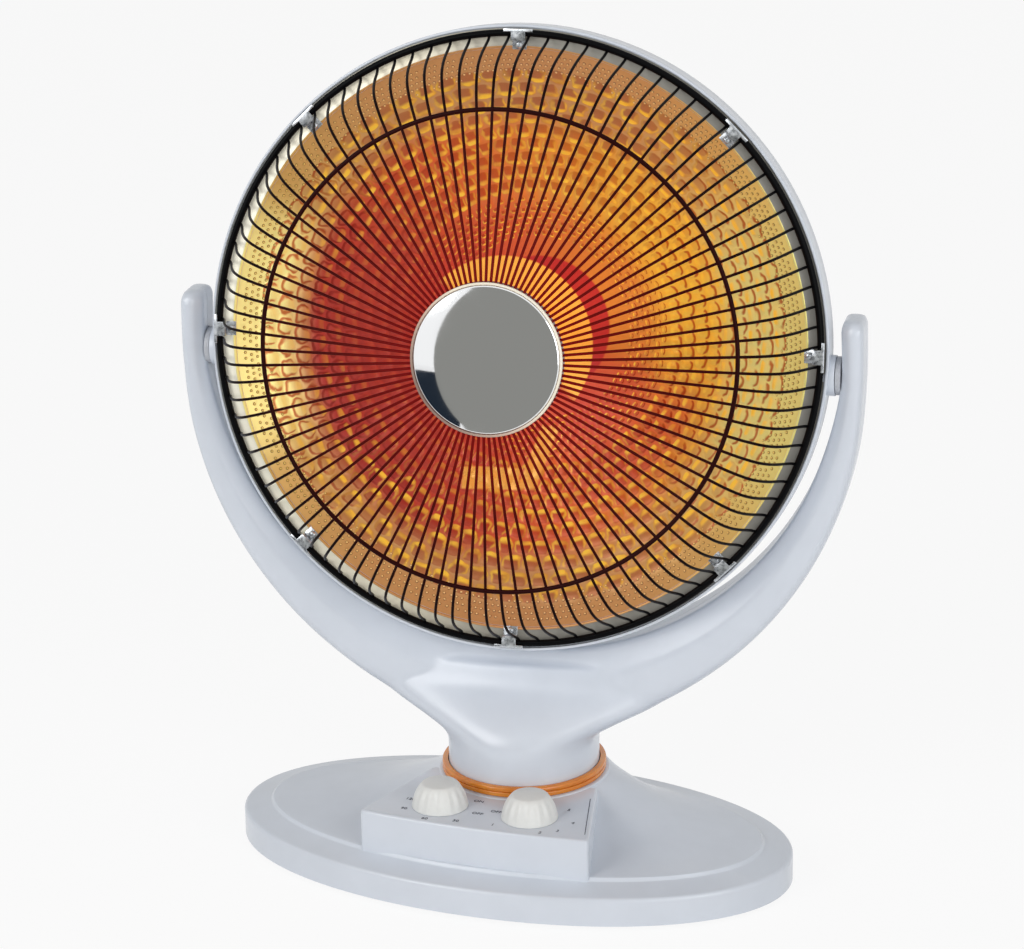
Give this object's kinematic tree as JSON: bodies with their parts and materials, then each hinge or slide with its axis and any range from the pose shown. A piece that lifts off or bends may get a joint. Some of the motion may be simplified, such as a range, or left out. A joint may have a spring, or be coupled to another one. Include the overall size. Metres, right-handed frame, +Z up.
{
  "type": "parabolic heater",
  "caption": "Dish heater on an oval base: a caged round reflector tilts in a half-moon yoke that swings on a round neck, with two knobs on a raised control box.",
  "frame": {"origin": "middle of the base plate's underside, 2.8 mm above the floor that the feet stand on", "axes": "+Z up, -Y towards the front of the base, where the knobs are, +X along the base's long axis to the viewer's right"},
  "size_m": [0.4257, 0.2267, 0.5253],
  "materials": {
    "white_plastic": "moulded, glossy",
    "ivory_plastic": "moulded, satin gloss",
    "orange_plastic": "moulded, satin gloss",
    "grey_nylon": "turned nylon",
    "dark_plastic": "moulded, matte",
    "black_rubber": "soft, matte",
    "black_wire": "black enamel on steel wire",
    "polished_dish": "gold-tinted and polished, embossed",
    "chrome": "polished",
    "zinc": "zinc plated",
    "steel": "rolled and pressed",
    "ceramic": "unglazed",
    "glowing_wire": "resistance wire"
  },
  "bodies": {
    "base": {"base_cover": "white_plastic", "base_plate": "steel", "foot_left_front": "black_rubber", "foot_left_rear": "black_rubber", "foot_right_front": "black_rubber", "foot_right_rear": "black_rubber", "trim_ring": "orange_plastic", "timer_switch": "dark_plastic", "mode_switch": "dark_plastic", "cord_gland": "dark_plastic", "tip_over_switch": "dark_plastic", "swing_motor": "steel", "bearing_washer": "grey_nylon"},
    "yoke": {"yoke_front_shell": "white_plastic", "yoke_rear_shell": "white_plastic", "swivel_tube": "steel", "swivel_ring_nut": "steel", "swing_lever": "steel", "yoke_screw_front": "zinc", "yoke_screw_rear": "zinc", "friction_washer_left": "grey_nylon", "friction_washer_right": "grey_nylon"},
    "head": {"rear_housing": "white_plastic", "reflector": "polished_dish", "guard_grille": "black_wire", "centre_cap": "chrome", "cap_back_plate": "ivory_plastic", "cap_nut": "zinc", "guard_clip_1": "zinc", "guard_clip_2": "zinc", "guard_clip_3": "zinc", "guard_clip_4": "zinc", "guard_clip_5": "zinc", "guard_clip_6": "zinc", "guard_clip_7": "zinc", "guard_clip_8": "zinc", "clip_screw_1": "zinc", "clip_screw_2": "zinc", "clip_screw_3": "zinc", "clip_screw_4": "zinc", "clip_screw_5": "zinc", "clip_screw_6": "zinc", "clip_screw_7": "zinc", "clip_screw_8": "zinc", "element_bobbin": "ceramic", "element_coil": "glowing_wire", "element_socket": "ceramic", "socket_bracket": "steel", "thermal_cutout": "dark_plastic", "pivot_pin_left": "steel", "pivot_pin_right": "steel"},
    "timer_knob": {"timer_knob": "ivory_plastic"},
    "mode_knob": {"mode_knob": "ivory_plastic"},
    "tip_over_plunger": {"tip_over_plunger": "grey_nylon"},
    "crank": {"crank_disc": "grey_nylon"}
  },
  "joints": [
    {"name": "swing", "type": "hinge", "parent": "base", "child": "yoke", "pos_m": [0, 0.0216, 0.05], "axis": [0, 0, 1], "range_deg": [-37, 23]},
    {"name": "tilt", "type": "hinge", "parent": "yoke", "child": "head", "pos_m": [-0.00073, 0.02755, 0.3172], "axis": [0.9925, 0.1219, 0], "range_deg": [-11.6, 18.4]},
    {"name": "timer_turn", "type": "hinge", "parent": "base", "child": "timer_knob", "pos_m": [-0.0295, -0.0514, 0.0489], "axis": [0, 0, 1], "range_deg": [-300, 0]},
    {"name": "mode_turn", "type": "hinge", "parent": "base", "child": "mode_knob", "pos_m": [0.0295, -0.0514, 0.0489], "axis": [0, 0, 1], "range_deg": [-135, 0]},
    {"name": "plunger_slide", "type": "slide", "parent": "base", "child": "tip_over_plunger", "axis": [0, 0, 1], "range_m": [-0.005, 0], "stiffness_N_per_m": 120, "springref_m": -0.007},
    {"name": "crank_turn", "type": "hinge", "parent": "base", "child": "crank", "pos_m": [-0.024, 0.0216, 0.02], "axis": [0, 0, 1], "range_deg": [-107.4, 66.8]}
  ],
  "couplings": [
    {"joint": "crank_turn", "follows": "swing", "ratio": 2.9}
  ]
}
